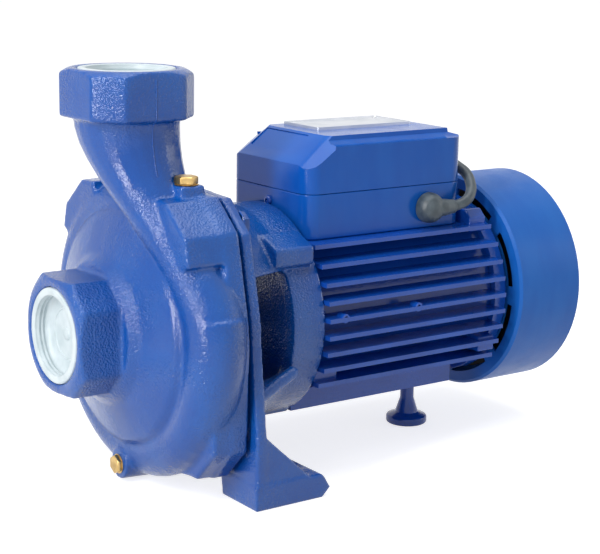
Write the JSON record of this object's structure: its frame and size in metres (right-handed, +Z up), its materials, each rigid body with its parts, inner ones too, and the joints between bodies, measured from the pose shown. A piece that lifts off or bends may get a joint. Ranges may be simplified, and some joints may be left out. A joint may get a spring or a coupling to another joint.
{
  "type": "centrifugal water pump",
  "caption": "Close-coupled centrifugal water pump: volute casing with octagonal threaded ports, cast bracket on feet, finned electric motor with terminal box and fan cowl.",
  "frame": {"origin": "on the floor, under the middle of the overall length and width; the pump's upright centre plane is 3.2 mm toward +Y from it, because the spiral widens the near side", "axes": "+X along the pump's axis from the suction port to the fan, +Y away from the side that shows the power lead, +Z up"},
  "size_m": [0.3856, 0.2004, 0.269],
  "materials": {
    "cast_paint": "glossy blue enamel over rough cast iron",
    "motor_paint": "glossy blue enamel over die-cast aluminium",
    "box_paint": "smooth glossy blue",
    "blue_plastic": "satin moulded blue",
    "white_plastic": "satin translucent white",
    "black_plastic": "matte black",
    "black_rubber": "matte black",
    "grey_rubber": "satin grey",
    "brass": "machined",
    "steel": "zinc plated"
  },
  "bodies": {
    "root": {"pump_casing": "cast_paint", "suction_cap": "white_plastic", "discharge_cap": "white_plastic", "priming_plug": "brass", "drain_plug": "brass", "casing_gasket": "black_rubber", "motor_bracket": "cast_paint", "casing_bolt_1": "steel", "casing_bolt_2": "steel", "casing_bolt_3": "steel", "casing_bolt_4": "steel", "pump_shaft": "steel", "motor_housing": "motor_paint", "rear_end_shield": "motor_paint", "fan_cover": "blue_plastic", "cooling_fan": "black_plastic", "terminal_box_base": "box_paint", "terminal_box_cover": "box_paint", "cable_gland": "grey_rubber", "far_cable_gland": "grey_rubber", "power_lead": "grey_rubber", "rear_foot": "motor_paint"}
  },
  "joints": []
}
